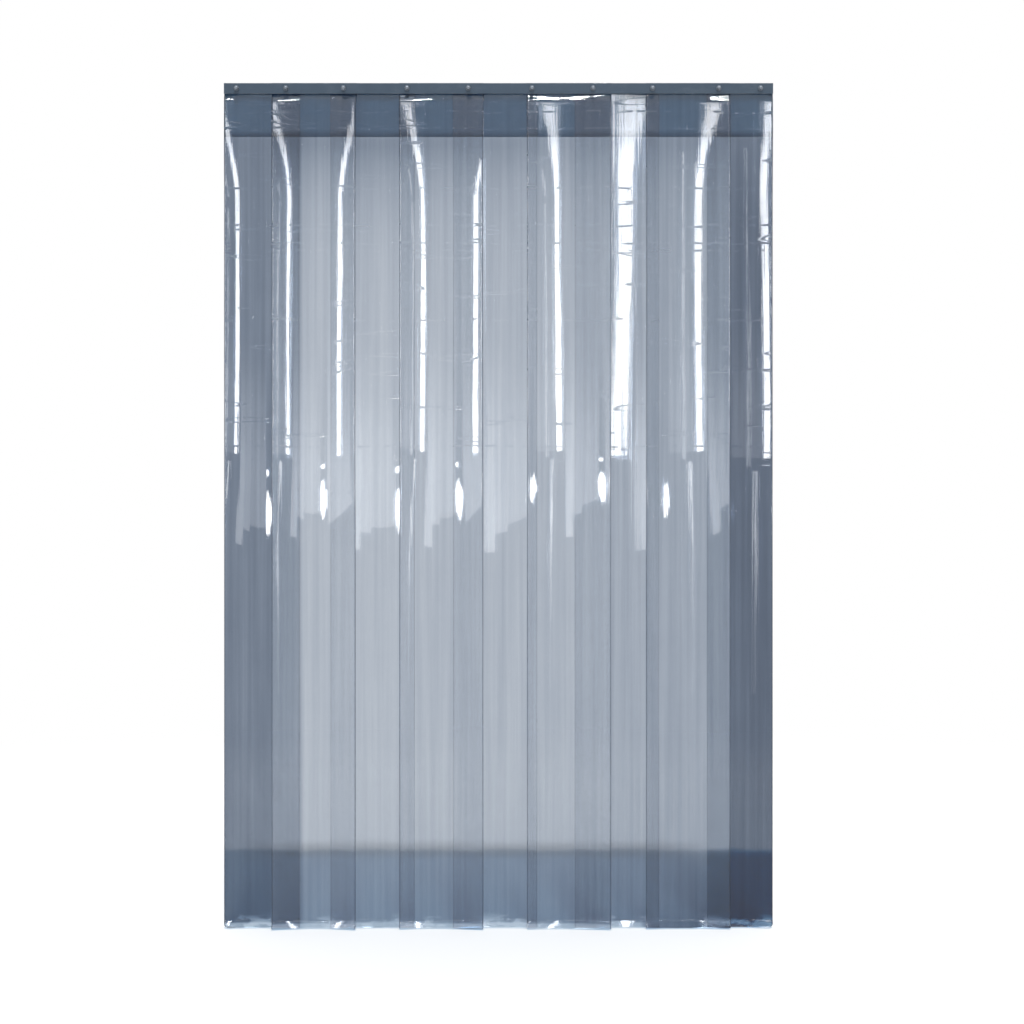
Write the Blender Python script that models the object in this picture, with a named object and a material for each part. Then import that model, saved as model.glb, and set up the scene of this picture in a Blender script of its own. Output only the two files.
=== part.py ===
"""Strip curtain: clear PVC strips clamped in two layers on the front of a folded steel header.

Frame: +Z up, X along the curtain, the viewer at -Y. The origin is on the flat top of the header's
flange, at the middle of its length and of its depth. Lengths are in metres.
"""

import math

import bmesh
import bpy

# Strips, from left to right; even ones hang in the front layer, odd ones in the back layer
STRIP_COUNT = 9
STRIP_WIDTH = 0.200
FIRST_STRIP_WIDTH = 0.180
LAST_STRIP_WIDTH = 0.156
STRIP_THICKNESS = 0.002
# How much of a strip's width lies over the next strip
OVERLAP_SHARES = (0.33, 0.31, 0.185, 0.365, 0.127, 0.43, 0.16, 0.273)

# Heights below the flange's top face
CURTAIN_HEIGHT = 2.000
HEADER_HEIGHT = 0.128
STRIP_TOP_DROP = 0.001
BAR_TOP_DROP = 0.002

# Header: one folded angle, its leg in front and its flange towards the back
HEADER_DEPTH = 0.050
HEADER_SHEET = 0.003
BEND_RADIUS = 0.002
SLOT_LENGTH = 0.020
SLOT_WIDTH = 0.009
SLOT_PLACE_SHARES = (-0.345, -0.115, 0.115, 0.345)
GUSSET_THICKNESS = 0.003
GUSSET_HEIGHT = 0.095
GUSSET_CORNER = 0.004
GUSSET_TOE = 0.008
GUSSET_EDGE_INSET = 0.004
GUSSET_PLACE_SHARES = (-0.23, 0.0, 0.23)
END_PLATE_THICKNESS = 0.003
END_PLATE_BACK_HEIGHT = 0.020
END_PLATE_TOE = 0.012

# Clamp: flat bar, hexagon bolts put in from the back, washers and domed nuts in front
BAR_HEIGHT = 0.025
BAR_THICKNESS = 0.003
END_BOLT_INSET = 0.030
BOLT_RADIUS = 0.003
BOLT_HOLE_RADIUS = 0.0034
BOLT_HEAD_FLATS = 0.010
BOLT_HEAD_HEIGHT = 0.004
WASHER_RADIUS = 0.006
WASHER_THICKNESS = 0.0016
NUT_FLATS = 0.010
NUT_HEIGHT = 0.005
NUT_DOME_HEIGHT = 0.004
NUT_BORE_DEPTH = 0.0065
NUT_END_PLAY = 0.0005

# Bend line below the header, and the curl that each hanging strip takes across its width
HINGE_DROP = 0.003
CURL_SAG = 0.010
CURL_LENGTH = 0.150
FRONT_SPREAD_SHARE = 0.55

# Space between pieces that touch, and the overrun of a cutter past what it cuts
PIECE_GAP = 0.0003
CUTTER_OVERRUN = 0.010

# Facets
ARC_STEPS = 4
CURL_COLUMNS = 8
CURL_ROWS = 6
ROUND_END_STEPS = 3
RING_POINTS = 12
HEX_CORNERS = 6
SHARP_ANGLE = math.radians(35)

# Colours: red, green, blue
HEADER_PAINT = (0.240, 0.315, 0.390)
DARK_STEEL = (0.300, 0.330, 0.370)
ZINC_STEEL = (0.480, 0.490, 0.500)
CLEAR_PVC = (0.470, 0.550, 0.640)

# Planes and lines that the pieces share
LEG_FRONT = -HEADER_DEPTH / 2
LEG_BACK = LEG_FRONT + HEADER_SHEET
FLANGE_BACK = HEADER_DEPTH / 2
FLANGE_UNDER = -HEADER_SHEET
BACK_LAYER = LEG_FRONT - PIECE_GAP - STRIP_THICKNESS / 2
FRONT_LAYER = BACK_LAYER - STRIP_THICKNESS - PIECE_GAP
BAR_BACK = FRONT_LAYER - STRIP_THICKNESS / 2 - PIECE_GAP
BAR_FRONT = BAR_BACK - BAR_THICKNESS
WASHER_BACK = BAR_FRONT - PIECE_GAP
WASHER_FRONT = WASHER_BACK - WASHER_THICKNESS
NUT_BASE = WASHER_FRONT - PIECE_GAP
BAR_TOP = -BAR_TOP_DROP
BAR_BOTTOM = BAR_TOP - BAR_HEIGHT
BOLT_LINE = (BAR_TOP + BAR_BOTTOM) / 2
HINGE_LINE = -HEADER_HEIGHT - HINGE_DROP
HEM = -CURTAIN_HEIGHT


def strip_widths():
    """Width of every strip, the two outermost trimmed."""
    middle = [STRIP_WIDTH] * (STRIP_COUNT - 2)
    return [FIRST_STRIP_WIDTH, *middle, LAST_STRIP_WIDTH]


def strip_edges():
    """Left and right edge of every strip, with the whole row centred on X zero."""
    widths = strip_widths()
    overlaps = [share * STRIP_WIDTH for share in OVERLAP_SHARES]
    left = -(sum(widths) - sum(overlaps)) / 2
    edges = []
    for width, overlap in zip(widths, [*overlaps, 0]):
        edges.append((left, left + width))
        left += width - overlap
    return edges


STRIP_EDGES = strip_edges()
CURTAIN_LEFT = STRIP_EDGES[0][0]
CURTAIN_RIGHT = STRIP_EDGES[-1][1]
CURTAIN_WIDTH = CURTAIN_RIGHT - CURTAIN_LEFT


def bolt_places():
    """X of each bolt: one near each end and one through the middle of every overlap."""
    places = [CURTAIN_LEFT + END_BOLT_INSET]
    for (_, right), (next_left, _) in zip(STRIP_EDGES, STRIP_EDGES[1:]):
        places.append((next_left + right) / 2)
    places.append(CURTAIN_RIGHT - END_BOLT_INSET)
    return places


BOLT_PLACES = bolt_places()


def clear_scene():
    """Remove every object that the file opened with."""
    for item in list(bpy.data.objects):
        bpy.data.objects.remove(item)


def principled(name, colour, roughness, metallic):
    """A material with one Principled BSDF."""
    material = bpy.data.materials.new(name)
    material.use_nodes = True
    shader = material.node_tree.nodes["Principled BSDF"]
    shader.inputs["Base Color"].default_value = (*colour, 1.0)
    shader.inputs["Roughness"].default_value = roughness
    shader.inputs["Metallic"].default_value = metallic
    return material


def add_object(name, shell, origin=(0, 0, 0), colour=HEADER_PAINT, roughness=0.5, metallic=0.0):
    """Turn a bmesh into a named object; the bmesh's points are measured from the origin."""
    bmesh.ops.recalc_face_normals(shell, faces=shell.faces)
    mesh = bpy.data.meshes.new(name)
    shell.to_mesh(mesh)
    shell.free()
    mesh.shade_smooth()
    mesh.set_sharp_from_angle(angle=SHARP_ANGLE)
    mesh.materials.append(principled(name + "_material", colour, roughness, metallic))
    item = bpy.data.objects.new(name, mesh)
    item.location = origin
    bpy.context.scene.collection.objects.link(item)
    return item


def add_cutter(name, shell):
    """A guide object that a Boolean cuts with."""
    cutter = add_object(name, shell)
    cutter.hide_render = True
    cutter.display_type = "WIRE"
    return cutter


def cut(item, cutter):
    """Cut the cutter's bodies out of an object."""
    boolean = item.modifiers.new("cut_" + cutter.name, "BOOLEAN")
    boolean.operation = "DIFFERENCE"
    boolean.solver = "EXACT"
    boolean.object = cutter


def loft(shell, rings, closed=False):
    """Join rings of points by faces; an open loft gets a face at each end."""
    vertices = [[shell.verts.new(point) for point in ring] for ring in rings]
    count = len(rings[0])
    pairs = list(zip(vertices, vertices[1:]))
    if closed:
        pairs.append((vertices[-1], vertices[0]))
    for ring, following in pairs:
        for place in range(count):
            after = (place + 1) % count
            shell.faces.new((ring[place], ring[after], following[after], following[place]))
    if not closed:
        shell.faces.new(vertices[0])
        shell.faces.new(vertices[-1])


def circle_radius(radius):
    """Radius at any angle of a circle."""
    return lambda angle: radius


def hexagon_radius(flats):
    """Distance to the outline of a hexagon at any angle, from its size across flats."""
    sector = math.tau / HEX_CORNERS

    def radius(angle):
        return flats / 2 / math.cos(angle % sector - sector / 2)

    return radius


def ring_at(place, y, radius_at):
    """Points round a line along Y through a bolt's place."""
    points = []
    for step in range(RING_POINTS):
        angle = math.tau * step / RING_POINTS
        radius = radius_at(angle)
        points.append((place + radius * math.cos(angle), y, BOLT_LINE + radius * math.sin(angle)))
    return points


def arc_points(centre, radius, start, end):
    """Points of an arc in the YZ plane, both ends included."""
    points = []
    for step in range(ARC_STEPS + 1):
        angle = start + (end - start) * step / ARC_STEPS
        points.append((centre[0] + radius * math.cos(angle), centre[1] + radius * math.sin(angle)))
    return points


def plate_along_x(shell, outline, left, right):
    """A closed prism between two X planes from an outline in the YZ plane."""
    loft(shell, [[(x, y, z) for y, z in outline] for x in (left, right)])


def box(shell, left, right, front, back, bottom, top):
    """A rectangular block."""
    outline = [(front, bottom), (back, bottom), (back, top), (front, top)]
    plate_along_x(shell, outline, left, right)


def bolt_hole_cutter():
    """One round cutter along Y at every bolt, through the leg, the strips and the bar."""
    shell = bmesh.new()
    for place in BOLT_PLACES:
        ends = (BAR_FRONT - CUTTER_OVERRUN, LEG_BACK + CUTTER_OVERRUN)
        loft(shell, [ring_at(place, y, circle_radius(BOLT_HOLE_RADIUS)) for y in ends])
    return add_cutter("bolt_hole_cutter", shell)


def slot_cutter():
    """A slot with round ends through the flange at every ceiling screw."""
    shell = bmesh.new()
    reach = (SLOT_LENGTH - SLOT_WIDTH) / 2
    turns = [math.pi * (step / ARC_STEPS - 0.5) for step in range(ARC_STEPS + 1)]
    for share in SLOT_PLACE_SHARES:
        middle = share * CURTAIN_WIDTH
        outline = []
        for side in (1, -1):
            for turn in turns:
                across = side * (reach + SLOT_WIDTH / 2 * math.cos(turn))
                outline.append((middle + across, side * SLOT_WIDTH / 2 * math.sin(turn)))
        heights = (FLANGE_UNDER - CUTTER_OVERRUN, CUTTER_OVERRUN)
        loft(shell, [[(x, y, z) for x, y in outline] for z in heights])
    return add_cutter("slot_cutter", shell)


def header_outline():
    """The angle's section: leg down the front, flange towards the back, round fold between."""
    outer = BEND_RADIUS + HEADER_SHEET
    fold = (LEG_FRONT + outer, -outer)
    return [
        (LEG_FRONT, -HEADER_HEIGHT),
        *arc_points(fold, outer, math.pi, math.pi / 2),
        (FLANGE_BACK, 0),
        (FLANGE_BACK, FLANGE_UNDER),
        *arc_points(fold, BEND_RADIUS, math.pi / 2, math.pi),
        (LEG_BACK, -HEADER_HEIGHT),
    ]


def header_angle(bolt_holes, slots):
    """The folded angle between the end plates, with its bolt holes and ceiling slots."""
    inset = END_PLATE_THICKNESS + PIECE_GAP
    shell = bmesh.new()
    plate_along_x(shell, header_outline(), CURTAIN_LEFT + inset, CURTAIN_RIGHT - inset)
    item = add_object("header_angle", shell, colour=HEADER_PAINT, roughness=0.45)
    cut(item, bolt_holes)
    cut(item, slots)


def header_gussets():
    """Three-cornered stiffeners inside the angle, cut off where the fold is round."""
    front = LEG_BACK + PIECE_GAP
    back = FLANGE_BACK - GUSSET_EDGE_INSET
    top = FLANGE_UNDER - PIECE_GAP
    bottom = top - GUSSET_HEIGHT
    outline = [
        (front, top - GUSSET_CORNER),
        (front + GUSSET_CORNER, top),
        (back, top),
        (back, top - GUSSET_TOE),
        (front + GUSSET_TOE, bottom),
        (front, bottom),
    ]
    for number, share in enumerate(GUSSET_PLACE_SHARES, start=1):
        left = share * CURTAIN_WIDTH - GUSSET_THICKNESS / 2
        shell = bmesh.new()
        plate_along_x(shell, outline, left, left + GUSSET_THICKNESS)
        add_object(f"header_gusset_{number}", shell, colour=HEADER_PAINT, roughness=0.45)


def end_plate(name, left):
    """A plate that closes one end of the angle."""
    outline = [
        (LEG_FRONT, 0),
        (FLANGE_BACK, 0),
        (FLANGE_BACK, -END_PLATE_BACK_HEIGHT),
        (LEG_FRONT + END_PLATE_TOE, -HEADER_HEIGHT),
        (LEG_FRONT, -HEADER_HEIGHT),
    ]
    shell = bmesh.new()
    plate_along_x(shell, outline, left, left + END_PLATE_THICKNESS)
    add_object(name, shell, colour=HEADER_PAINT, roughness=0.45)


def clamp_bar(bolt_holes):
    """The flat bar that presses both layers of strips against the leg."""
    shell = bmesh.new()
    box(shell, CURTAIN_LEFT, CURTAIN_RIGHT, BAR_FRONT, BAR_BACK, BAR_BOTTOM, BAR_TOP)
    item = add_object("clamp_bar", shell, colour=HEADER_PAINT, roughness=0.45)
    cut(item, bolt_holes)


def end_packer(name, left, right, bolt_holes):
    """An offcut of strip that fills the front layer outside the outermost front strip."""
    half = STRIP_THICKNESS / 2
    shell = bmesh.new()
    box(shell, left, right, FRONT_LAYER - half, FRONT_LAYER + half, BAR_BOTTOM, BAR_TOP)
    item = add_object(name, shell, colour=CLEAR_PVC, roughness=0.1)
    cut(item, bolt_holes)


def clamp_bolt(number, place):
    """A bolt with its hexagon head behind the leg and a shank that ends inside the nut."""
    head_front = LEG_BACK + PIECE_GAP
    tip = NUT_BASE - NUT_BORE_DEPTH + NUT_END_PLAY
    head = hexagon_radius(BOLT_HEAD_FLATS)
    shank = circle_radius(BOLT_RADIUS)
    rings = [
        ring_at(place, head_front + BOLT_HEAD_HEIGHT, head),
        ring_at(place, head_front, head),
        ring_at(place, head_front, shank),
        ring_at(place, tip, shank),
    ]
    shell = bmesh.new()
    loft(shell, rings)
    add_object(f"clamp_bolt_{number}", shell, colour=ZINC_STEEL, roughness=0.35, metallic=1.0)


def clamp_washer(number, place):
    """A plain washer between the bar and a nut."""
    outer = circle_radius(WASHER_RADIUS)
    inner = circle_radius(BOLT_HOLE_RADIUS)
    back, front = WASHER_BACK, WASHER_FRONT
    sections = ((back, inner), (back, outer), (front, outer), (front, inner))
    shell = bmesh.new()
    loft(shell, [ring_at(place, y, radius) for y, radius in sections], closed=True)
    name = f"clamp_washer_{number}"
    add_object(name, shell, colour=DARK_STEEL, roughness=0.3, metallic=1.0)


def clamp_nut(number, place):
    """A domed hexagon nut with a blind bore from the washer's side."""
    shoulder = NUT_BASE - NUT_HEIGHT
    bore = circle_radius(BOLT_HOLE_RADIUS)
    rings = [
        ring_at(place, NUT_BASE - NUT_BORE_DEPTH, bore),
        ring_at(place, NUT_BASE, bore),
        ring_at(place, NUT_BASE, hexagon_radius(NUT_FLATS)),
        ring_at(place, shoulder, hexagon_radius(NUT_FLATS)),
    ]
    for step in range(ARC_STEPS):
        rise = math.pi / 2 * step / ARC_STEPS
        radius = NUT_FLATS / 2 * math.cos(rise)
        y = shoulder - NUT_DOME_HEIGHT * math.sin(rise)
        rings.append(ring_at(place, y, circle_radius(radius)))
    shell = bmesh.new()
    loft(shell, rings)
    name = f"clamp_nut_{number}"
    add_object(name, shell, colour=DARK_STEEL, roughness=0.25, metallic=1.0)


def in_front(number):
    """Whether a strip, numbered from 1 at the left, hangs in the front layer."""
    return number % 2 == 0


def layer_of(number):
    """Y of the middle plane of a strip where it is clamped."""
    return FRONT_LAYER if in_front(number) else BACK_LAYER


def strip_head(number, edges, bolt_holes):
    """The flat stretch of a strip that the bar holds against the leg."""
    half = STRIP_THICKNESS / 2
    layer = layer_of(number)
    bottom = HINGE_LINE + half + PIECE_GAP
    shell = bmesh.new()
    box(shell, *edges, layer - half, layer + half, bottom, -STRIP_TOP_DROP)
    item = add_object(f"strip_head_{number}", shell, colour=CLEAR_PVC, roughness=0.1)
    cut(item, bolt_holes)


def curl_rows():
    """Rows of a hanging strip from its rounded top edge down: depth, half thickness, curl."""
    half = STRIP_THICKNESS / 2
    rows = []
    for step in range(1, ROUND_END_STEPS + 1):
        rise = math.pi / 2 * (1 - step / ROUND_END_STEPS)
        rows.append((half * math.sin(rise), half * math.cos(rise), 0.0))
    for step in range(1, CURL_ROWS + 1):
        share = step / CURL_ROWS
        rows.append((-CURL_LENGTH * share, half, share * share * (3 - 2 * share)))
    rows.append((HEM - HINGE_LINE, half, 1.0))
    return rows


def curl_point(across, half_width, curl, spread):
    """Middle line of a curled strip: place along X, place along Y and slope, from its axis."""
    sag = CURL_SAG * curl
    reach = half_width - sag * sag * 2 / 3 / half_width
    x = across * reach
    y = spread * curl - sag * across * across
    slope = -2 * sag * across / reach
    return x, y, slope


def hanging_strip(number, edges):
    """A strip below the bend line: rounded top edge, then edges curling towards the viewer.

    The middle line sags by a parabola across the width, and the two layers spread apart by as
    much as they curl, so that no strip's edge meets its neighbour.
    """
    half_width = (edges[1] - edges[0]) / 2
    if in_front(number):
        spread = -CURL_SAG * FRONT_SPREAD_SHARE
    else:
        spread = CURL_SAG * (1 - FRONT_SPREAD_SHARE)
    shell = bmesh.new()
    shares = [2 * column / CURL_COLUMNS - 1 for column in range(CURL_COLUMNS + 1)]
    ridge = [shell.verts.new((share * half_width, 0, STRIP_THICKNESS / 2)) for share in shares]
    front_rows, back_rows = [ridge], [ridge]
    for z, half, curl in curl_rows():
        front, back = [], []
        for share in shares:
            x, y, slope = curl_point(share, half_width, curl, spread)
            length = math.hypot(1, slope)
            shift_x = half * slope / length
            shift_y = half / length
            front.append(shell.verts.new((x + shift_x, y - shift_y, z)))
            back.append(shell.verts.new((x - shift_x, y + shift_y, z)))
        front_rows.append(front)
        back_rows.append(back)
    for rows in (front_rows, back_rows):
        for upper, lower in zip(rows, rows[1:]):
            for column in range(CURL_COLUMNS):
                shell.faces.new((upper[column], upper[column + 1], lower[column + 1], lower[column]))
    for column in (0, -1):
        side = list(zip(front_rows, back_rows))
        for (front, back), (front_below, back_below) in zip(side, side[1:]):
            corners = [front[column], front_below[column], back_below[column], back[column]]
            shell.faces.new(list(dict.fromkeys(corners)))
    for column in range(CURL_COLUMNS):
        front, back = front_rows[-1], back_rows[-1]
        shell.faces.new((front[column], front[column + 1], back[column + 1], back[column]))
    middle = (edges[0] + edges[1]) / 2
    origin = (middle, layer_of(number), HINGE_LINE)
    add_object(f"strip_{number}", shell, origin, CLEAR_PVC, roughness=0.1)


def build():
    """Model every piece of the curtain."""
    clear_scene()
    bolt_holes = bolt_hole_cutter()
    header_angle(bolt_holes, slot_cutter())
    header_gussets()
    end_plate("end_plate_left", CURTAIN_LEFT)
    end_plate("end_plate_right", CURTAIN_RIGHT - END_PLATE_THICKNESS)
    clamp_bar(bolt_holes)
    end_packer("end_packer_left", CURTAIN_LEFT, STRIP_EDGES[1][0] - PIECE_GAP, bolt_holes)
    end_packer("end_packer_right", STRIP_EDGES[-2][1] + PIECE_GAP, CURTAIN_RIGHT, bolt_holes)
    for number, place in enumerate(BOLT_PLACES, start=1):
        clamp_bolt(number, place)
        clamp_washer(number, place)
        clamp_nut(number, place)
    for number, edges in enumerate(STRIP_EDGES, start=1):
        strip_head(number, edges, bolt_holes)
        hanging_strip(number, edges)


build()
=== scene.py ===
import math

import bpy
import numpy as np
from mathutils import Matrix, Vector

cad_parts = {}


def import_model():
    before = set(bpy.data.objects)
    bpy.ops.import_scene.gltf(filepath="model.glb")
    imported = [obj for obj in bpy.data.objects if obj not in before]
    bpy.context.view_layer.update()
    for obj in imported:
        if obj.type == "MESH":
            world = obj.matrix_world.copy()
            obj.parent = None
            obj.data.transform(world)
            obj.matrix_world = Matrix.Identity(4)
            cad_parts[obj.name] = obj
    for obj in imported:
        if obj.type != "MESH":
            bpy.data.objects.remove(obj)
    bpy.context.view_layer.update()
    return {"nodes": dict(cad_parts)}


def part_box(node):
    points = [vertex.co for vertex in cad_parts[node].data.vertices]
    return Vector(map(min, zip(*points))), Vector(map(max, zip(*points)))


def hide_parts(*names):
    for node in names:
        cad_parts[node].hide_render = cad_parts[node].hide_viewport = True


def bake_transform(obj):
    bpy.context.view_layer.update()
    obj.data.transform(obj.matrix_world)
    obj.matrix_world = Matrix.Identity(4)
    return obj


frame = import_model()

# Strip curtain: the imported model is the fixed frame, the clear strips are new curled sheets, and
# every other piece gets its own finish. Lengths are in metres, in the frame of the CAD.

# The photograph: a level camera straight in front of the curtain
VIEW_CENTRE_X = 0.032
VIEW_CENTRE_Z = -1.017
VIEW_WIDTH = 2.4228
CAMERA_DISTANCE = 4.5
SENSOR_WIDTH_MM = 36.0
STRIP_PLANE = -0.034

# Strips: number, sag of the curl, share of it just below the bar, turn about the strip's own
# line, tint (higher on the outer strips: painted shade), more tint below the header (painted shade)
STRIP_SHAPES = (
    (1, 0.0119, 0.68, -0.006, 2.15, 0.05),
    (2, 0.0143, 0.62, 0.000, 1.00, 0.85),
    (3, 0.0093, 0.78, -0.010, 0.99, 0.95),
    (4, 0.0125, 0.56, 0.027, 1.04, 0.75),
    (5, 0.0093, 0.60, 0.007, 1.06, 0.65),
    (6, 0.0118, 0.42, 0.036, 1.08, 0.50),
    (7, 0.0048, 0.48, 0.000, 1.26, 0.45),
    (8, 0.0092, 0.50, 0.000, 1.36, 0.40),
    (9, 0.0050, 0.80, -0.012, 2.75, -0.12),
)
STRIP_THICKNESS = 0.002
STRIP_TOP = -0.001
HEM = -2.000
COLUMNS = 36
EDGE_STEPS = 3
FINE_ROW_SPACING = 0.003
FINE_ROWS_END = 0.300
ROW_SPACING = 0.010
HEM_ROWS_START = 1.972
HEM_ROW_SPACING = 0.002

# Curl of a strip: between which depths below the frame's top it comes and goes, how much of it
# the lower half loses, and the slow sways of its sag and its turn (size, rate, shift per strip)
FIRST_CURL_DEPTHS = (0.027, 0.048)
WHOLE_CURL_DEPTHS = (0.040, 0.290)
FLATTER_DEPTHS = (0.86, 1.15)
FLATTER_SHARE = 0.15
SAG_SWAY = (0.05, 2.1, 1.7)
TURN_SWAY = (0.006, 3.9, 2.3)
LAYER_CLEARANCE = 0.0010
LAYERS_PART_DEPTHS = (0.027, 0.060)
BACK_SPREAD = 0.0045
SPREAD_START = 0.131
SPREAD_LENGTH = 0.150

# Hem: where it starts to lean forward, its slope with a long and a short wave along the curtain
# (size and rate), and the rounded outer corners
FLARE_START = 1.978
FLARE_BEND = 0.010
FLARE_SLOPE = 0.38
FLARE_WAVE = (0.09, 25.6)
FLARE_WAVE_SHIFT = 3.085
FLARE_RIPPLE = (0.01, 61.0)
CORNER_RADIUS = 0.010
HEM_CORNER = HEM + CORNER_RADIUS
ROUNDED_SIDES = {1: -1, 9: 1}

# Bolt holes
BOLT_HOLE_RADIUS = 0.0034
BOLT_HOLE_CORNERS = 24

# Tint of the strips: in front of the header, painted shade below it, painted shade where the
# second strip covers the first and at the lower right corner, and a painted glare at the hem
HEADER_TINT = 0.85
HEADER_FOOT_DEPTHS = (0.110, 0.135)
TOP_SHADE_START = 0.150
TOP_SHADE_FADE = 0.110
COVERING_SHADE = 0.38
COVERING_TO_X = -0.461
COVERING_FADE = 0.006
CORNER_SHADE = 0.42
CORNER_X = (0.28, 0.60)
CORNER_DEPTHS = (1.815, 1.835)
HEM_GLARE_SHARE = 0.75
PALE_HEM_DEPTHS = (1.986, 1.992)
PALE_HEM_END_X = (0.33, 0.37)

# Studio
FLOOR_HEIGHT = -2.003
FLOOR_REACH = 30.0
LAMP_PLANE = -4.35
WORLD_LIGHT = 0.42
FLOOR_VIEW_WHITE = 1.16
FLOOR_WHITE_THROUGH_STRIP = 1.02
FLOOR_FADE = (2.9, 4.6)
LAMP_FADE = (0.20, 1.0)
LENS_RIM = (0.80, 1.0)
LENS_POWER = 1.3
SUN_PLACE = (0.15, -1.89, 3.6)
SUN_LIGHT = 1.90
SUN_DEGREES = 6


def smooth(value, low, high):
    """Zero below low, one above high, and a smooth rise between them."""
    share = np.clip((value - low) / (high - low), 0, 1)
    return share * share * (3 - 2 * share)


class Tree:
    """Adds nodes to a node tree: values and links are given by the name of their socket."""

    def __init__(self, tree):
        self.tree = tree

    def put(self, socket, value):
        """Link a socket to another, or set its value."""
        if isinstance(value, bpy.types.NodeSocket):
            self.tree.links.new(value, socket)
        else:
            socket.default_value = value

    def add(self, kind, settings=None, **values):
        """A node of a kind, with its settings and the values of its inputs."""
        node = self.tree.nodes.new("ShaderNode" + kind)
        for name, value in (settings or {}).items():
            setattr(node, name, value)
        for name, value in values.items():
            self.put(node.inputs[name.replace("_", " ")], value)
        return node

    def math(self, operation, *values):
        """The result of a Math node."""
        node = self.add("Math", {"operation": operation})
        for socket, value in zip(node.inputs, values):
            self.put(socket, value)
        return node.outputs[0]

    def band(self, value, low, high, result_low=0.0, result_high=1.0):
        """A value that goes smoothly from one result to another between low and high."""
        node = self.add("MapRange", {"interpolation_type": "SMOOTHSTEP"}, Value=value)
        limits = {"From Min": low, "From Max": high, "To Min": result_low, "To Max": result_high}
        for name, number in limits.items():
            node.inputs[name].default_value = number
        return node.outputs[0]

    def mix(self, share, first, second):
        """Two colours mixed by a share."""
        node = self.add("Mix", {"data_type": "RGBA"})
        self.put(node.inputs["Factor"], share)
        self.put(node.inputs[6], first)
        self.put(node.inputs[7], second)
        return node.outputs[2]

    def noise(self, vector, cells, detail=2.0, roughness=0.5, offset=(0, 0, 0)):
        """Noise with so many cells per metre along each axis of the vector."""
        place = self.add("Mapping", Vector=vector, Scale=cells, Location=offset).outputs[0]
        made = self.add("TexNoise", Vector=place, Scale=1.0, Detail=detail, Roughness=roughness)
        return made.outputs["Fac"]

    def bump(self, height, distance, normal=None):
        """A normal raised by a height times a distance in metres."""
        node = self.add("Bump", Height=height, Distance=distance)
        if normal is not None:
            self.put(node.inputs["Normal"], normal)
        return node.outputs["Normal"]


def material(name):
    """An empty material, its nodes and its output node."""
    made = bpy.data.materials.new(name)
    made.use_nodes = True
    made.node_tree.nodes.clear()
    nodes = Tree(made.node_tree)
    return made, nodes, nodes.add("OutputMaterial")


def wear_group():
    """Masks that the metal pieces share: stains, scratches along X, and dust."""
    tree = bpy.data.node_groups.new("metal_wear", "ShaderNodeTree")
    for label in ("Stains", "Scratches", "Dust"):
        tree.interface.new_socket(label, in_out="OUTPUT", socket_type="NodeSocketFloat")
    nodes = Tree(tree)
    out = tree.nodes.new("NodeGroupOutput")
    place = nodes.add("TexCoord").outputs["Object"]
    stains = nodes.noise(place, (34, 60, 60), 4.0, 0.6, (1, 2, 3))
    lines = nodes.noise(place, (22, 500, 600), 3.0, 0.6, (4, 1, 3))
    dust = nodes.noise(place, (9, 30, 22), 6.0, 0.7)
    nodes.put(out.inputs["Stains"], stains)
    nodes.put(out.inputs["Scratches"], nodes.band(lines, 0.68, 0.73))
    nodes.put(out.inputs["Dust"], nodes.band(dust, 0.45, 0.80))
    return tree


WEAR = wear_group()
PVC_TINT = (0.410, 0.458, 0.528, 1.0)
# Bluer tint of the band above the hem: painted shade.
PVC_BAND_SHADE_TINT = (0.330, 0.458, 0.576, 1.0)
PVC_SHADOW = (0.50, 0.64, 0.76, 1.0)
PVC_SECOND_LAYER = 0.16
PVC_SECOND_LAYER_BAND_SHADE = 0.14
# Depths of the folds that the packing left across every strip, and of its other zones
FOLD_DEPTHS = (0.070, 0.110, 0.250, 0.338, 0.381, 0.398, 0.563, 0.862)
FOLD_EDGES = (0.0012, 0.0034)
CREASED_END_DEPTHS = (0.80, 0.93)
# The band above the hem is painted shade; the rubbed band is a scuff and a painted glare.
SHADED_BAND_DEPTHS = (1.819, 1.832)
RUBBED_AND_GLARE_DEPTHS = (1.962, 1.990)
CUT_EDGE_WIDTHS = (0.0008, 0.0032)


def light_passes(nodes, out, shader):
    """Send a PVC shader to the output, but let rays that only light or shade pass straight on."""
    path = nodes.add("LightPath")
    clear = nodes.add("BsdfTransparent", Color=PVC_SHADOW)
    is_shadow, is_diffuse = path.outputs["Is Shadow Ray"], path.outputs["Is Diffuse Ray"]
    mixed = nodes.add("MixShader", Fac=nodes.math("MAXIMUM", is_shadow, is_diffuse))
    nodes.put(mixed.inputs[1], shader.outputs[0])
    nodes.put(mixed.inputs[2], clear.outputs[0])
    nodes.put(out.inputs["Surface"], mixed.outputs[0])


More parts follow.
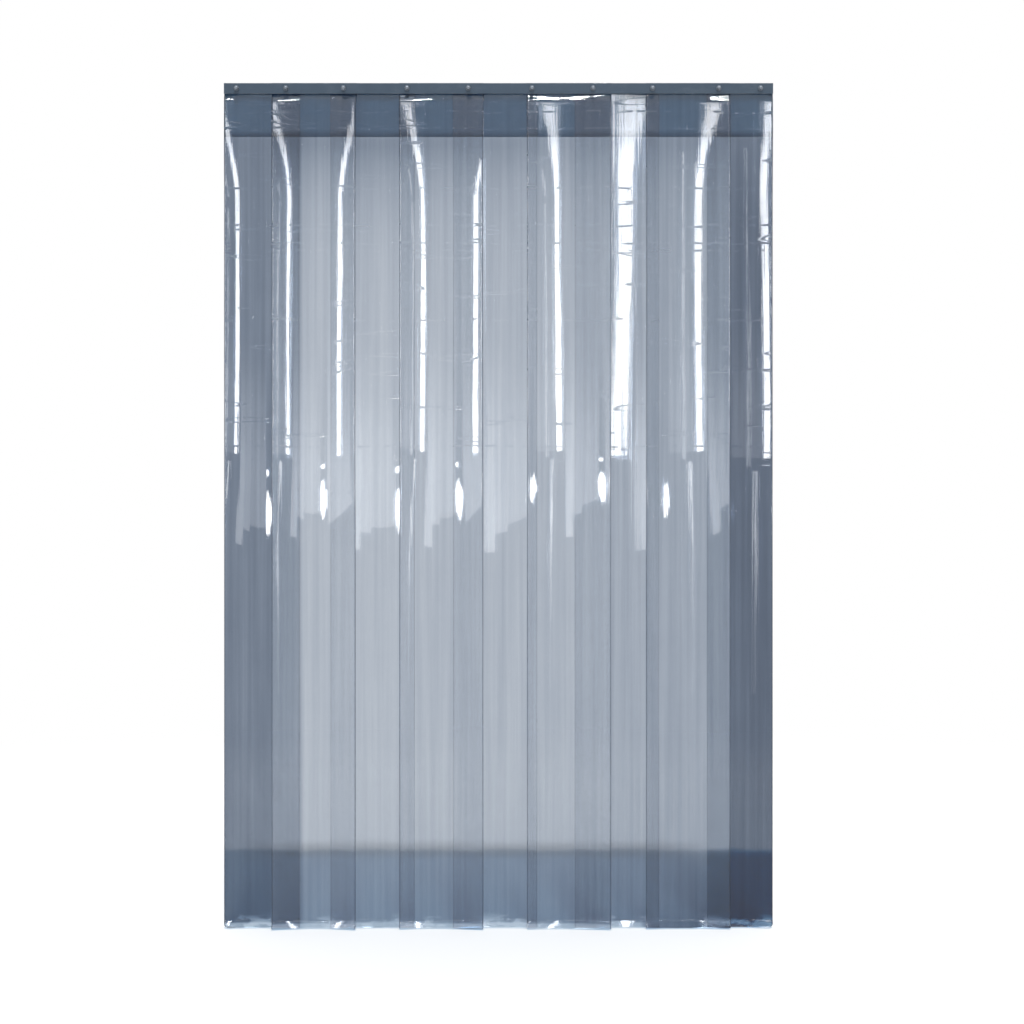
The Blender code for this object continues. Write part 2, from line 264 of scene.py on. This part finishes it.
def pvc_sheet_material():
    """Clear blue-grey PVC, from the strip's own UV map in metres.

    Draw lines run down the strip, dull folds and fine creases run across its upper half, and it
    has scuffs, haze and a darker cut edge. A band above the hem has more tint, bluer where there
    is more of it: painted shade. In places the hem is rougher, as if rubbed, and paler: a painted
    glare. A strip seen through another takes little more of the light.
    """
    made, nodes, out = material("clear_pvc_sheet")
    uv = nodes.add("UVMap", {"uv_map": "strip"}).outputs["UV"]
    depth = nodes.add("SeparateXYZ", Vector=uv).outputs["Y"]
    rim = nodes.add("Attribute", {"attribute_name": "rim"}).outputs["Fac"]
    tint_depth = nodes.add("Attribute", {"attribute_name": "tint_depth"}).outputs["Fac"]

    fine_lines = nodes.noise(uv, (520, 0.9, 1))
    broad_lines = nodes.noise(uv, (75, 1.1, 1), 3.0)
    waves = nodes.noise(uv, (7, 2.6, 1), 1.0)
    haze = nodes.noise(uv, (9, 5, 1), 5.0, 0.65)
    crease_field = nodes.noise(uv, (4.5, 33, 1), 1.0)
    crease_distance = nodes.math("ABSOLUTE", nodes.math("SUBTRACT", crease_field, 0.66))
    crease = nodes.band(crease_distance, 0.0, 0.030, 1.0, 0.0)
    creased = nodes.band(depth, *CREASED_END_DEPTHS, 1.0, 0.0)
    crease = nodes.math("MULTIPLY", crease, creased)
    wander = nodes.math("MULTIPLY_ADD", nodes.noise(uv, (10, 5, 1), 2.0), 0.012, -0.006)
    wander = nodes.math("ADD", depth, wander)
    folds = 0.0
    for fold in FOLD_DEPTHS:
        away = nodes.math("ABSOLUTE", nodes.math("SUBTRACT", wander, fold))
        folds = nodes.math("MAXIMUM", folds, nodes.band(away, *FOLD_EDGES, 1.0, 0.0))
    shown = nodes.band(nodes.noise(uv, (26, 15, 1), 1.0, 0.5, (6, 2, 0)), 0.47, 0.55)
    folds = nodes.math("MULTIPLY", folds, shown)
    scuff = nodes.band(nodes.noise(uv, (160, 22, 1), 4.0, 0.7, (3, 7, 0)), 0.66, 0.72)
    edge = nodes.band(rim, *CUT_EDGE_WIDTHS, 1.0, 0.0)
    # A band above the hem with more tint: painted shade.
    ragged = nodes.math("MULTIPLY_ADD", haze, 0.016, depth)
    shaded_band = nodes.band(ragged, *SHADED_BAND_DEPTHS)
    # Patches at the hem get rougher, as if rubbed, and less tint as a painted glare.
    patches = nodes.band(nodes.noise(uv, (11, 26, 1), 3.0, 0.6, (1, 5, 0)), 0.50, 0.60)
    rubbed = nodes.math("MULTIPLY", patches, nodes.band(depth, *RUBBED_AND_GLARE_DEPTHS))

    power = nodes.math("MULTIPLY_ADD", broad_lines, 0.46, 0.69)
    power = nodes.math("MULTIPLY_ADD", haze, 0.16, power)
    power = nodes.math("MULTIPLY", power, tint_depth)
    power = nodes.math("MULTIPLY", power, nodes.math("MULTIPLY_ADD", shaded_band, 0.25, 1.0))
    power = nodes.math("MULTIPLY", power, nodes.math("MULTIPLY_ADD", rubbed, -0.65, 1.0))
    power = nodes.math("MULTIPLY_ADD", edge, 0.95, power)
    crossed = nodes.add("LightPath").outputs["Transmission Depth"]
    behind = nodes.math("GREATER_THAN", crossed, 1.5)
    # The covered strip's extra tint in that band is part of the painted shade.
    kept = nodes.math("MULTIPLY_ADD", shaded_band, PVC_SECOND_LAYER_BAND_SHADE, PVC_SECOND_LAYER - 1.0)
    power = nodes.math("MULTIPLY", power, nodes.math("MULTIPLY_ADD", behind, kept, 1.0))
    # Bluer tint in that band: painted shade.
    band_shade = nodes.math("MULTIPLY", shaded_band, nodes.band(tint_depth, 1.6, 3.4, 0.10, 1.0))
    plain = nodes.mix(band_shade, PVC_TINT, PVC_BAND_SHADE_TINT)
    tint = nodes.add("Gamma", Color=plain, Gamma=power).outputs[0]

    rough = nodes.math("MULTIPLY_ADD", haze, 0.030, 0.004)
    rough = nodes.math("MULTIPLY_ADD", folds, 0.24, rough)
    rough = nodes.math("MULTIPLY_ADD", crease, 0.20, rough)
    rough = nodes.math("MULTIPLY_ADD", rubbed, 0.22, rough)
    rough = nodes.math("MULTIPLY_ADD", scuff, 0.16, rough)
    rough = nodes.math("MULTIPLY_ADD", edge, 0.10, rough)

    normal = nodes.bump(waves, 0.0006)
    normal = nodes.bump(broad_lines, 0.00014, normal)
    normal = nodes.bump(fine_lines, 0.000016, normal)
    normal = nodes.bump(crease, 0.00008, normal)
    normal = nodes.bump(scuff, 0.00006, normal)

    shader = nodes.add(
        "BsdfPrincipled", Base_Color=tint, Roughness=rough, Normal=normal,
        Transmission_Weight=1.0, IOR=1.53, Metallic=0.0,
    )
    light_passes(nodes, out, shader)
    return made


def pvc_packer_material():
    """The same PVC on the two offcuts, cloudy from sawing."""
    made, nodes, out = material("clear_pvc_offcut")
    place = nodes.add("TexCoord").outputs["Object"]
    cloud = nodes.noise(place, (60, 60, 60), 4.0, 0.6)
    saw_marks = nodes.noise(place, (900, 40, 40), 2.0)
    tint = nodes.mix(cloud, (0.34, 0.40, 0.50, 1), (0.48, 0.54, 0.62, 1))
    rough = nodes.band(cloud, 0.3, 0.7, 0.06, 0.30)
    shader = nodes.add(
        "BsdfPrincipled", Base_Color=tint, Roughness=rough,
        Normal=nodes.bump(saw_marks, 0.00004), Transmission_Weight=1.0, IOR=1.53, Metallic=0.0,
    )
    light_passes(nodes, out, shader)
    return made


def painted_material(name, dark, light, dusty):
    """Blue-grey powder coat: orange peel, dust, scratches and rubbed edges.

    The colour wanders between a dark and a light one; dusty is the most that dust and scratches
    cover.
    """
    made, nodes, out = material(name)
    place = nodes.add("TexCoord").outputs["Object"]
    wear = nodes.add("Group", {"node_tree": WEAR}).outputs
    peel = nodes.noise(place, (520, 520, 520))
    rounded = nodes.add("Bevel", {"samples": 4}, Radius=0.0012).outputs[0]
    flat = nodes.add("NewGeometry").outputs["Normal"]
    facing = nodes.add("VectorMath", {"operation": "DOT_PRODUCT"})
    nodes.put(facing.inputs[0], rounded)
    nodes.put(facing.inputs[1], flat)
    rubbed = nodes.band(facing.outputs["Value"], 0.90, 0.995, 0.7, 0.0)
    worn = nodes.math("MULTIPLY", rubbed, nodes.band(wear["Stains"], 0.45, 0.60))
    paint = nodes.mix(wear["Stains"], dark, light)
    dust = nodes.math("MULTIPLY", wear["Dust"], dusty)
    paint = nodes.mix(dust, paint, (0.38, 0.42, 0.46, 1))
    scratched = nodes.math("MULTIPLY", wear["Scratches"], dusty)
    paint = nodes.mix(scratched, paint, (0.42, 0.46, 0.50, 1))
    paint = nodes.mix(worn, paint, (0.48, 0.50, 0.52, 1))
    normal = nodes.bump(peel, 0.00006, rounded)
    normal = nodes.bump(wear["Scratches"], -0.00005, normal)
    shader = nodes.add(
        "BsdfPrincipled", Base_Color=paint, Normal=normal, Metallic=0.0,
        Roughness=nodes.band(wear["Dust"], 0.0, 1.0, 0.36, 0.62),
    )
    nodes.put(out.inputs["Surface"], shader.outputs[0])
    return made


def steel_material(name, colour, stain, grain, smoothest, roughest):
    """Bare steel: a grain of brush lines, fine scratches, stains and rounded edges."""
    made, nodes, out = material(name)
    place = nodes.add("TexCoord").outputs["Object"]
    wear = nodes.add("Group", {"node_tree": WEAR}).outputs
    lines = nodes.noise(place, grain, 5.0, 0.7)
    rounded = nodes.add("Bevel", {"samples": 4}, Radius=0.0006).outputs[0]
    base = nodes.mix(nodes.band(lines, 0.25, 0.75, 0.0, 0.35), colour, stain)
    base = nodes.mix(nodes.band(wear["Stains"], 0.50, 0.75, 0.0, 0.6), base, stain)
    rough = nodes.band(lines, 0.2, 0.8, smoothest, roughest)
    rough = nodes.math("MULTIPLY_ADD", wear["Stains"], 0.10, rough)
    normal = nodes.bump(lines, 0.00004, rounded)
    normal = nodes.bump(wear["Scratches"], -0.00004, normal)
    shader = nodes.add(
        "BsdfPrincipled", Base_Color=base, Roughness=rough, Normal=normal, Metallic=1.0
    )
    nodes.put(out.inputs["Surface"], shader.outputs[0])
    return made


def dress_frame():
    """Give every CAD node that stays its finished material, by what its name begins with."""
    paint = painted_material(
        "header_powder_coat", (0.190, 0.295, 0.380, 1), (0.235, 0.350, 0.440, 1), 0.40
    )
    # The bar's coat is the header's paint made darker: a painted shade.
    bar = painted_material(
        "bar_shaded_powder_coat", (0.045, 0.075, 0.115, 1), (0.062, 0.098, 0.145, 1), 0.12
    )
    nut = steel_material(
        "nut_steel", (0.23, 0.26, 0.30, 1), (0.15, 0.17, 0.20, 1), (260, 90, 260), 0.32, 0.48
    )
    bolt = steel_material(
        "bolt_zinc", (0.50, 0.51, 0.50, 1), (0.36, 0.36, 0.33, 1), (180, 180, 180), 0.30, 0.50
    )
    finishes = {
        "header_": paint,
        "end_plate_": paint,
        "clamp_bar": bar,
        "clamp_washer_": nut,
        "clamp_nut_": nut,
        "clamp_bolt_": bolt,
        "end_packer_": pvc_packer_material(),
    }
    for name, item in frame["nodes"].items():
        for beginning, finish in finishes.items():
            if name.startswith(beginning):
                for place in item.material_slots:
                    place.material = finish


def ring_places():
    """Across, from -1 to 1, and turn of the offset for each point round a strip's section.

    The front runs from left to right, an arc goes round the right edge, the back runs from right
    to left, and another arc goes round the left edge. Columns lie closer near the edges.
    """
    share = np.linspace(-1, 1, COLUMNS + 1)
    across = 0.6 * share + 0.4 * np.sin(share * math.pi / 2)
    arc = np.linspace(0, math.pi, EDGE_STEPS + 2)[1:-1]
    edge = np.ones(EDGE_STEPS)
    places = np.concatenate([across, edge, across[::-1], -edge])
    front = np.zeros(COLUMNS + 1)
    turns = np.concatenate([front, arc, front + math.pi, arc + math.pi])
    return places, turns


def row_depths():
    """Depth of each row below the top of the frame, closer where the strip curls and at its hem."""
    fine = np.arange(-STRIP_TOP, FINE_ROWS_END, FINE_ROW_SPACING)
    plain = np.arange(FINE_ROWS_END, HEM_ROWS_START, ROW_SPACING)
    count = round((-HEM - HEM_ROWS_START) / HEM_ROW_SPACING)
    return np.concatenate([fine, plain, np.linspace(HEM_ROWS_START, -HEM, count + 1)])


def hem_flare(x, depth):
    """How far the last 22 mm of a strip lean forward at a world X.

    The slope rises smoothly over the bend and then stays, so the flare is the slope's sum: the
    bend's length times (t cubed minus half of t to the fourth), plus the straight part below it.
    """
    wave, wave_rate = FLARE_WAVE
    ripple, ripple_rate = FLARE_RIPPLE
    slope = FLARE_SLOPE + wave * np.sin(wave_rate * x + FLARE_WAVE_SHIFT)
    slope = slope + ripple * np.sin(ripple_rate * x)
    share = np.clip((depth - FLARE_START) / FLARE_BEND, 0, 1)
    straight = np.maximum(depth - FLARE_START - FLARE_BEND, 0)
    return slope * (FLARE_BEND * (share**3 - share**4 / 2) + straight)


def curl_share(number, depth):
    """Share of a strip's curl: none under the bar, its first share 20 mm below, whole at 290 mm.

    In the lower half it falls by 15%.
    """
    first = STRIP_SHAPES[number - 1][2]
    rest = (1 - first) * smooth(depth, *WHOLE_CURL_DEPTHS)
    share = first * smooth(depth, *FIRST_CURL_DEPTHS) + rest
    return share * (1 - FLATTER_SHARE * smooth(depth, *FLATTER_DEPTHS))


def sway(number, depth, size, rate, shift):
    """A slow wave down a strip: its size times the sine of rate times depth, shifted per strip."""
    return size * np.sin(rate * depth + shift * number)


def bulge_and_twist(number, depth):
    """How far a strip's edges come forward, and its turn, each with its slow sway."""
    _, sag, _, turn, _, _ = STRIP_SHAPES[number - 1]
    curl = curl_share(number, depth)
    bulge = sag * curl * (1 + sway(number, depth, *SAG_SWAY))
    return bulge, curl * (turn + sway(number, depth, *TURN_SWAY))


def strip_middle(number, line, half, across, depth):
    """Middle surface of a strip: X from its own line, Y from its layer, and the slope of Y by X.

    Y is the layer's spread, minus the bulge times across squared, minus the twist times the
    distance from the strip's line, minus the hem's flare. The front layer stands off by as much
    as the edges behind it come forward. The curtain's two outer corners at the hem are rounded:
    the strip is narrower there by r - sqrt(r^2 - t^2).
    """
    bulge, twist = bulge_and_twist(number, depth)
    spread = BACK_SPREAD * smooth(depth, SPREAD_START, SPREAD_START + SPREAD_LENGTH)
    if number % 2 == 0:
        left_bulge, left_twist = bulge_and_twist(number - 1, depth)
        right_bulge, right_twist = bulge_and_twist(number + 1, depth)
        behind = np.maximum(left_bulge + left_twist * half, right_bulge - right_twist * half)
        spread = spread - behind - LAYER_CLEARANCE * smooth(depth, *LAYERS_PART_DEPTHS)
    reach = half - bulge * bulge * 2 / 3 / half
    x = across * reach
    y = spread - bulge * across * across - twist * across * reach
    y = y - hem_flare(line + x, depth)
    slope = -2 * bulge * across / reach - twist
    into_corner = np.clip(depth + HEM_CORNER, 0, CORNER_RADIUS)
    inset = CORNER_RADIUS - np.sqrt(CORNER_RADIUS**2 - into_corner**2)
    side = ROUNDED_SIDES.get(number, 0)
    x = x - side * inset * (1 + side * across) / 2
    return x, y, slope


def strip_points(number, line, half):
    """Points of a closed sheet of even thickness round the strip's middle surface, row by row."""
    thick = STRIP_THICKNESS / 2
    across, turn = ring_places()
    depth = row_depths()[:, None]
    x, y, slope = strip_middle(number, line, half - thick, across[None, :], depth)
    length = np.sqrt(1 + slope * slope)
    forward, sideways = np.cos(turn), np.sin(turn)
    x = x + thick * (forward * slope + sideways) / length
    y = y + thick * (sideways * slope - forward) / length
    z = np.broadcast_to(-depth, x.shape)
    return np.stack([x, y, z], axis=-1)


def strip_faces(rows, ring):
    """Faces between the rows' rings, and a row of faces that closes the top and the hem."""
    row, place = np.meshgrid(np.arange(rows - 1) * ring, np.arange(ring), indexing="ij")
    after = (place + 1) % ring
    corners = [row + place, row + ring + place, row + ring + after, row + after]
    faces = np.stack(corners, axis=-1).reshape(-1, 4).tolist()
    last_back = 2 * COLUMNS + EDGE_STEPS + 1
    caps = [[i, i + 1, last_back - i - 1, last_back - i] for i in range(COLUMNS)]
    caps.append(list(range(COLUMNS, COLUMNS + EDGE_STEPS + 2)))
    caps.append([*range(last_back, ring), 0])
    end = (rows - 1) * ring
    faces += caps
    faces += [[end + corner for corner in reversed(cap)] for cap in caps]
    return faces


def new_object(name, points, faces):
    """A mesh object at the origin."""
    mesh = bpy.data.meshes.new(name)
    mesh.from_pydata(points, [], faces)
    item = bpy.data.objects.new(name, mesh)
    bpy.context.scene.collection.objects.link(item)
    return item


def cut_bolt_holes(item, low, high):
    """Cut a round hole through a strip for every clamp bolt between two X places."""
    turns = np.arange(BOLT_HOLE_CORNERS) * math.tau / BOLT_HOLE_CORNERS
    points, faces = [], []
    for name in sorted(frame["nodes"]):
        if not name.startswith("clamp_bolt_"):
            continue
        lowest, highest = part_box(name)
        middle = (lowest + highest) / 2
        if not low < middle.x < high:
            continue
        start = len(points)
        for y in (highest.y, lowest.y):
            for turn in turns:
                x = middle.x + BOLT_HOLE_RADIUS * math.cos(turn)
                points.append((x, y, middle.z + BOLT_HOLE_RADIUS * math.sin(turn)))
        first = [start + i for i in range(BOLT_HOLE_CORNERS)]
        second = [i + BOLT_HOLE_CORNERS for i in first]
        faces += [first[::-1], second]
        for i in range(BOLT_HOLE_CORNERS):
            after = (i + 1) % BOLT_HOLE_CORNERS
            faces.append([first[i], first[after], second[after], second[i]])
    cutter = new_object("bolt_hole_cutter", points, faces)
    boolean = item.modifiers.new("bolt_holes", "BOOLEAN")
    boolean.operation = "DIFFERENCE"
    boolean.solver = "EXACT"
    boolean.object = cutter
    shown = item.evaluated_get(bpy.context.evaluated_depsgraph_get())
    item.data = bpy.data.meshes.new_from_object(shown)
    item.modifiers.clear()
    bpy.data.objects.remove(cutter)


def give_attributes(item, number, half, line):
    """Write the strip's UV map in metres, each point's distance to a side edge, and the tint.

    The tint is slight in front of the header. Below it is the strip's own, higher on the outer
    strips as painted shade, with more at first as painted shade under the header: that share falls
    by a factor of e every 110 mm. The second strip has more where it covers the first, and the
    lower right corner more still, both painted shade; the hem's last 12 mm have less, a painted
    glare, but for the right end.
    """
    mesh = item.data
    place = np.empty(len(mesh.vertices) * 3, dtype=np.float32)
    mesh.vertices.foreach_get("co", place)
    place = place.reshape(-1, 3)
    x, depth = place[:, 0], -place[:, 2]
    edge, _, _ = strip_middle(number, line, half, 1.0, depth)
    middle, _, _ = strip_middle(number, line, half, 0.0, depth)
    across = x - line - middle
    attribute = mesh.attributes.new("rim", "FLOAT", "POINT")
    attribute.data.foreach_set("value", (edge - middle - np.abs(across)).astype(np.float32))
    attribute = mesh.attributes.new("tint_depth", "FLOAT", "POINT")
    # The outer strips' higher own tint is painted shade.
    own, more = STRIP_SHAPES[number - 1][4:]
    # The share that falls off below the header is painted shade.
    below = own * (1 + more * np.exp(-np.maximum(depth - TOP_SHADE_START, 0) / TOP_SHADE_FADE))
    # More tint where strip 2 covers strip 1: painted shade in the overlap.
    if number == 2:
        covering = 1 - smooth(x, COVERING_TO_X - COVERING_FADE, COVERING_TO_X)
        below = below * (1 + COVERING_SHADE * covering)
    # More tint at the lower right corner: painted shade.
    corner = smooth(x, *CORNER_X) * smooth(depth, *CORNER_DEPTHS)
    below = below * (1 + CORNER_SHADE * corner)
    # Less tint at the hem: a painted glare.
    pale = smooth(depth, *PALE_HEM_DEPTHS) * (1 - smooth(x, *PALE_HEM_END_X))
    below = below * (1 - HEM_GLARE_SHARE * pale)
    tint = HEADER_TINT + (below - HEADER_TINT) * smooth(depth, *HEADER_FOOT_DEPTHS)
    attribute.data.foreach_set("value", tint.astype(np.float32))
    vertex = np.empty(len(mesh.loops), dtype=np.int32)
    mesh.loops.foreach_get("vertex_index", vertex)
    uv = np.stack([across + 2.0 * number, depth], axis=-1)[vertex]
    layer = mesh.uv_layers.new(name="strip")
    layer.data.foreach_set("uv", uv.astype(np.float32).ravel())


def hang_strip(number, finish):
    """One strip from its clamped top to its hem; it stands for both of its CAD nodes."""
    head, hanging = f"strip_head_{number}", f"strip_{number}"
    lowest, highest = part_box(head)
    line, layer = (lowest.x + highest.x) / 2, (lowest.y + highest.y) / 2
    half = (highest.x - lowest.x) / 2
    points = strip_points(number, line, half)
    rows, ring = points.shape[:2]
    points = points.reshape(-1, 3) + (line, layer, 0)
    item = new_object(f"pvc_strip_{number}", points.tolist(), strip_faces(rows, ring))
    cut_bolt_holes(item, lowest.x, highest.x)
    item.data.shade_smooth()
    item.data.set_sharp_from_angle(angle=math.radians(50))
    give_attributes(item, number, half, line)
    item.data.materials.clear()
    item.data.materials.append(finish)
    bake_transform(item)
    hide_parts(head, hanging)


def floor():
    """A pale floor that looks white to the camera and keeps the curtain's shadow."""
    reach = FLOOR_REACH
    corners = [(-reach, -reach), (reach, -reach), (reach, reach), (-reach, reach)]
    item = new_object("floor", [(x, y, FLOOR_HEIGHT) for x, y in corners], [[0, 1, 2, 3]])
    made, nodes, out = material("pale_floor")
    place = nodes.add("TexCoord").outputs["Object"]
    path = nodes.add("LightPath").outputs
    seen = nodes.math("MAXIMUM", path["Is Camera Ray"], path["Is Glossy Ray"])
    seen = nodes.math("MAXIMUM", seen, path["Is Transmission Ray"])
    grain = nodes.noise(place, (3, 3, 3), 4.0)
    plain = nodes.mix(grain, (0.78, 0.78, 0.78, 1), (0.82, 0.82, 0.82, 1))
    white = (*[FLOOR_VIEW_WHITE] * 3, 1)
    through = (*[FLOOR_WHITE_THROUGH_STRIP] * 3, 1)
    white = nodes.mix(path["Is Transmission Ray"], white, through)
    lit = nodes.add("BsdfDiffuse", Color=nodes.mix(seen, plain, white))
    glow = nodes.add("Emission", Color=(1, 1, 1, 1), Strength=1.0)
    distance = nodes.add("VectorMath", {"operation": "LENGTH"}, Vector=place).outputs["Value"]
    far = nodes.math("MULTIPLY", nodes.band(distance, *FLOOR_FADE), seen)
    mixed = nodes.add("MixShader", Fac=far)
    nodes.put(mixed.inputs[1], lit.outputs[0])
    nodes.put(mixed.inputs[2], glow.outputs[0])
    nodes.put(out.inputs["Surface"], mixed.outputs[0])
    item.data.materials.append(made)


def world():
    """Soft light from all round, white where the camera, a reflection or clear PVC shows it."""
    made = bpy.data.worlds.new("studio")
    made.use_nodes = True
    made.node_tree.nodes.clear()
    nodes = Tree(made.node_tree)
    path = nodes.add("LightPath").outputs
    seen = nodes.math("MAXIMUM", path["Is Camera Ray"], path["Is Glossy Ray"])
    seen = nodes.math("MAXIMUM", seen, path["Is Transmission Ray"])
    strength = nodes.math("MULTIPLY_ADD", seen, 1.0 - WORLD_LIGHT, WORLD_LIGHT)
    sky = nodes.add("Background", Color=(1, 1, 1, 1), Strength=strength)
    out = nodes.add("OutputWorld")
    nodes.put(out.inputs["Surface"], sky.outputs[0])
    bpy.context.scene.world = made


def lamp(name, kind, place, aim):
    """A lamp that faces a point and isn't seen by the camera."""
    light = bpy.data.lights.new(name, kind)
    item = bpy.data.objects.new(name, light)
    bpy.context.scene.collection.objects.link(item)
    item.location = place
    way = [to - start for start, to in zip(place, aim)]
    flat = math.hypot(way[0], way[1])
    item.rotation_euler = (math.pi / 2 + math.atan2(way[2], flat), 0, math.atan2(-way[0], way[1]))
    item.visible_camera = False
    return light


def window_lamp(name, x, low, high, width, brightness, top=None, lens=False):
    """An upright lamp that faces the curtain and shows only in reflections.

    A strip that is seen through another doesn't mirror it. Its brightness is even, changes from
    its foot to its top, or fills a lens: where the share of half the width plus the share of
    half the height to the power 1.3 is below one.
    """
    middle = (low + high) / 2
    light = lamp(name, "AREA", (x, LAMP_PLANE, middle), (x, 0, middle))
    light.shape = "RECTANGLE"
    light.size, light.size_y = width, high - low
    light.energy = brightness * math.pi * width * (high - low)
    light.use_nodes = True
    nodes = Tree(light.node_tree)
    place = nodes.add("NewGeometry").outputs["Parametric"]
    place = nodes.add("SeparateXYZ", Vector=place).outputs
    end = 1.0 if top is None else top / brightness
    strength = nodes.band(place["Y"], *LAMP_FADE, 1.0, end)
    if lens:
        aside = nodes.math("ABSOLUTE", nodes.math("MULTIPLY_ADD", place["X"], 2.0, -1.0))
        above = nodes.math("ABSOLUTE", nodes.math("MULTIPLY_ADD", place["Y"], 2.0, -1.0))
        reach = nodes.math("ADD", aside, nodes.math("POWER", above, LENS_POWER))
        strength = nodes.band(reach, *LENS_RIM, 1.0, 0.0)
    path = nodes.add("LightPath").outputs
    mirrored = nodes.math("GREATER_THAN", path["Glossy Depth"], 0.5)
    uncovered = nodes.math("LESS_THAN", path["Transmission Depth"], 2.5)
    strength = nodes.math("MULTIPLY", strength, nodes.math("MULTIPLY", mirrored, uncovered))
    nodes.put(light.node_tree.nodes["Emission"].inputs["Strength"], strength)


def lights():
    """Tall windows for the streaks, dim ones for the paler panels, lens-shaped lamps and a sun."""
    window_lamp("main_window", 0.45, -0.76, 1.70, 0.20, 21.0, top=5.0)
    window_lamp("thin_window", 1.00, -0.80, 0.45, 0.05, 5.0)
    window_lamp("left_window", -2.40, -0.76, 1.70, 0.26, 21.0, top=5.0)
    window_lamp("left_panel", -2.40, -1.15, -0.05, 1.50, 2.2, top=0.0)
    window_lamp("right_panel", 1.05, -0.76, -0.05, 0.90, 0.9, top=0.0)
    window_lamp("low_window", 0.78, -1.86, -0.82, 0.07, 0.8, top=9.0)
    window_lamp("near_window", 0.04, -1.20, -0.10, 0.30, 3.2, top=0.0)
    window_lamp("side_window", -0.28, -1.12, -0.10, 0.32, 2.4, top=0.0)
    window_lamp("far_window", -0.86, -1.09, -0.20, 0.82, 1.8, top=0.0)
    window_lamp("first_high_window", 0.16, 1.16, 1.75, 0.16, 4.5)
    window_lamp("second_high_window", 0.54, 1.16, 1.75, 0.22, 5.5)
    window_lamp("round_lamp", -1.40, -1.14, -0.91, 0.42, 34.0, lens=True)
    window_lamp("spot_lamp", -1.40, -0.850, -0.812, 0.18, 34.0, lens=True)
    window_lamp("right_lamp", 1.60, -1.12, -0.92, 0.26, 34.0, lens=True)
    sun = lamp("sun", "SUN", SUN_PLACE, (0, 0, 0))
    sun.energy = SUN_LIGHT
    sun.angle = math.radians(SUN_DEGREES)


def camera():
    """The photograph's camera."""
    made = bpy.data.cameras.new("camera")
    made.sensor_width = SENSOR_WIDTH_MM
    made.lens = SENSOR_WIDTH_MM * CAMERA_DISTANCE / VIEW_WIDTH
    item = bpy.data.objects.new("camera", made)
    bpy.context.scene.collection.objects.link(item)
    item.location = (VIEW_CENTRE_X, STRIP_PLANE - CAMERA_DISTANCE, VIEW_CENTRE_Z)
    item.rotation_euler = (math.pi / 2, 0, 0)
    bpy.context.scene.camera = item


bpy.context.scene.view_settings.view_transform = "Standard"
camera()
world()
lights()
floor()
dress_frame()
PVC_SHEET = pvc_sheet_material()
for shape in STRIP_SHAPES:
    hang_strip(shape[0], PVC_SHEET)
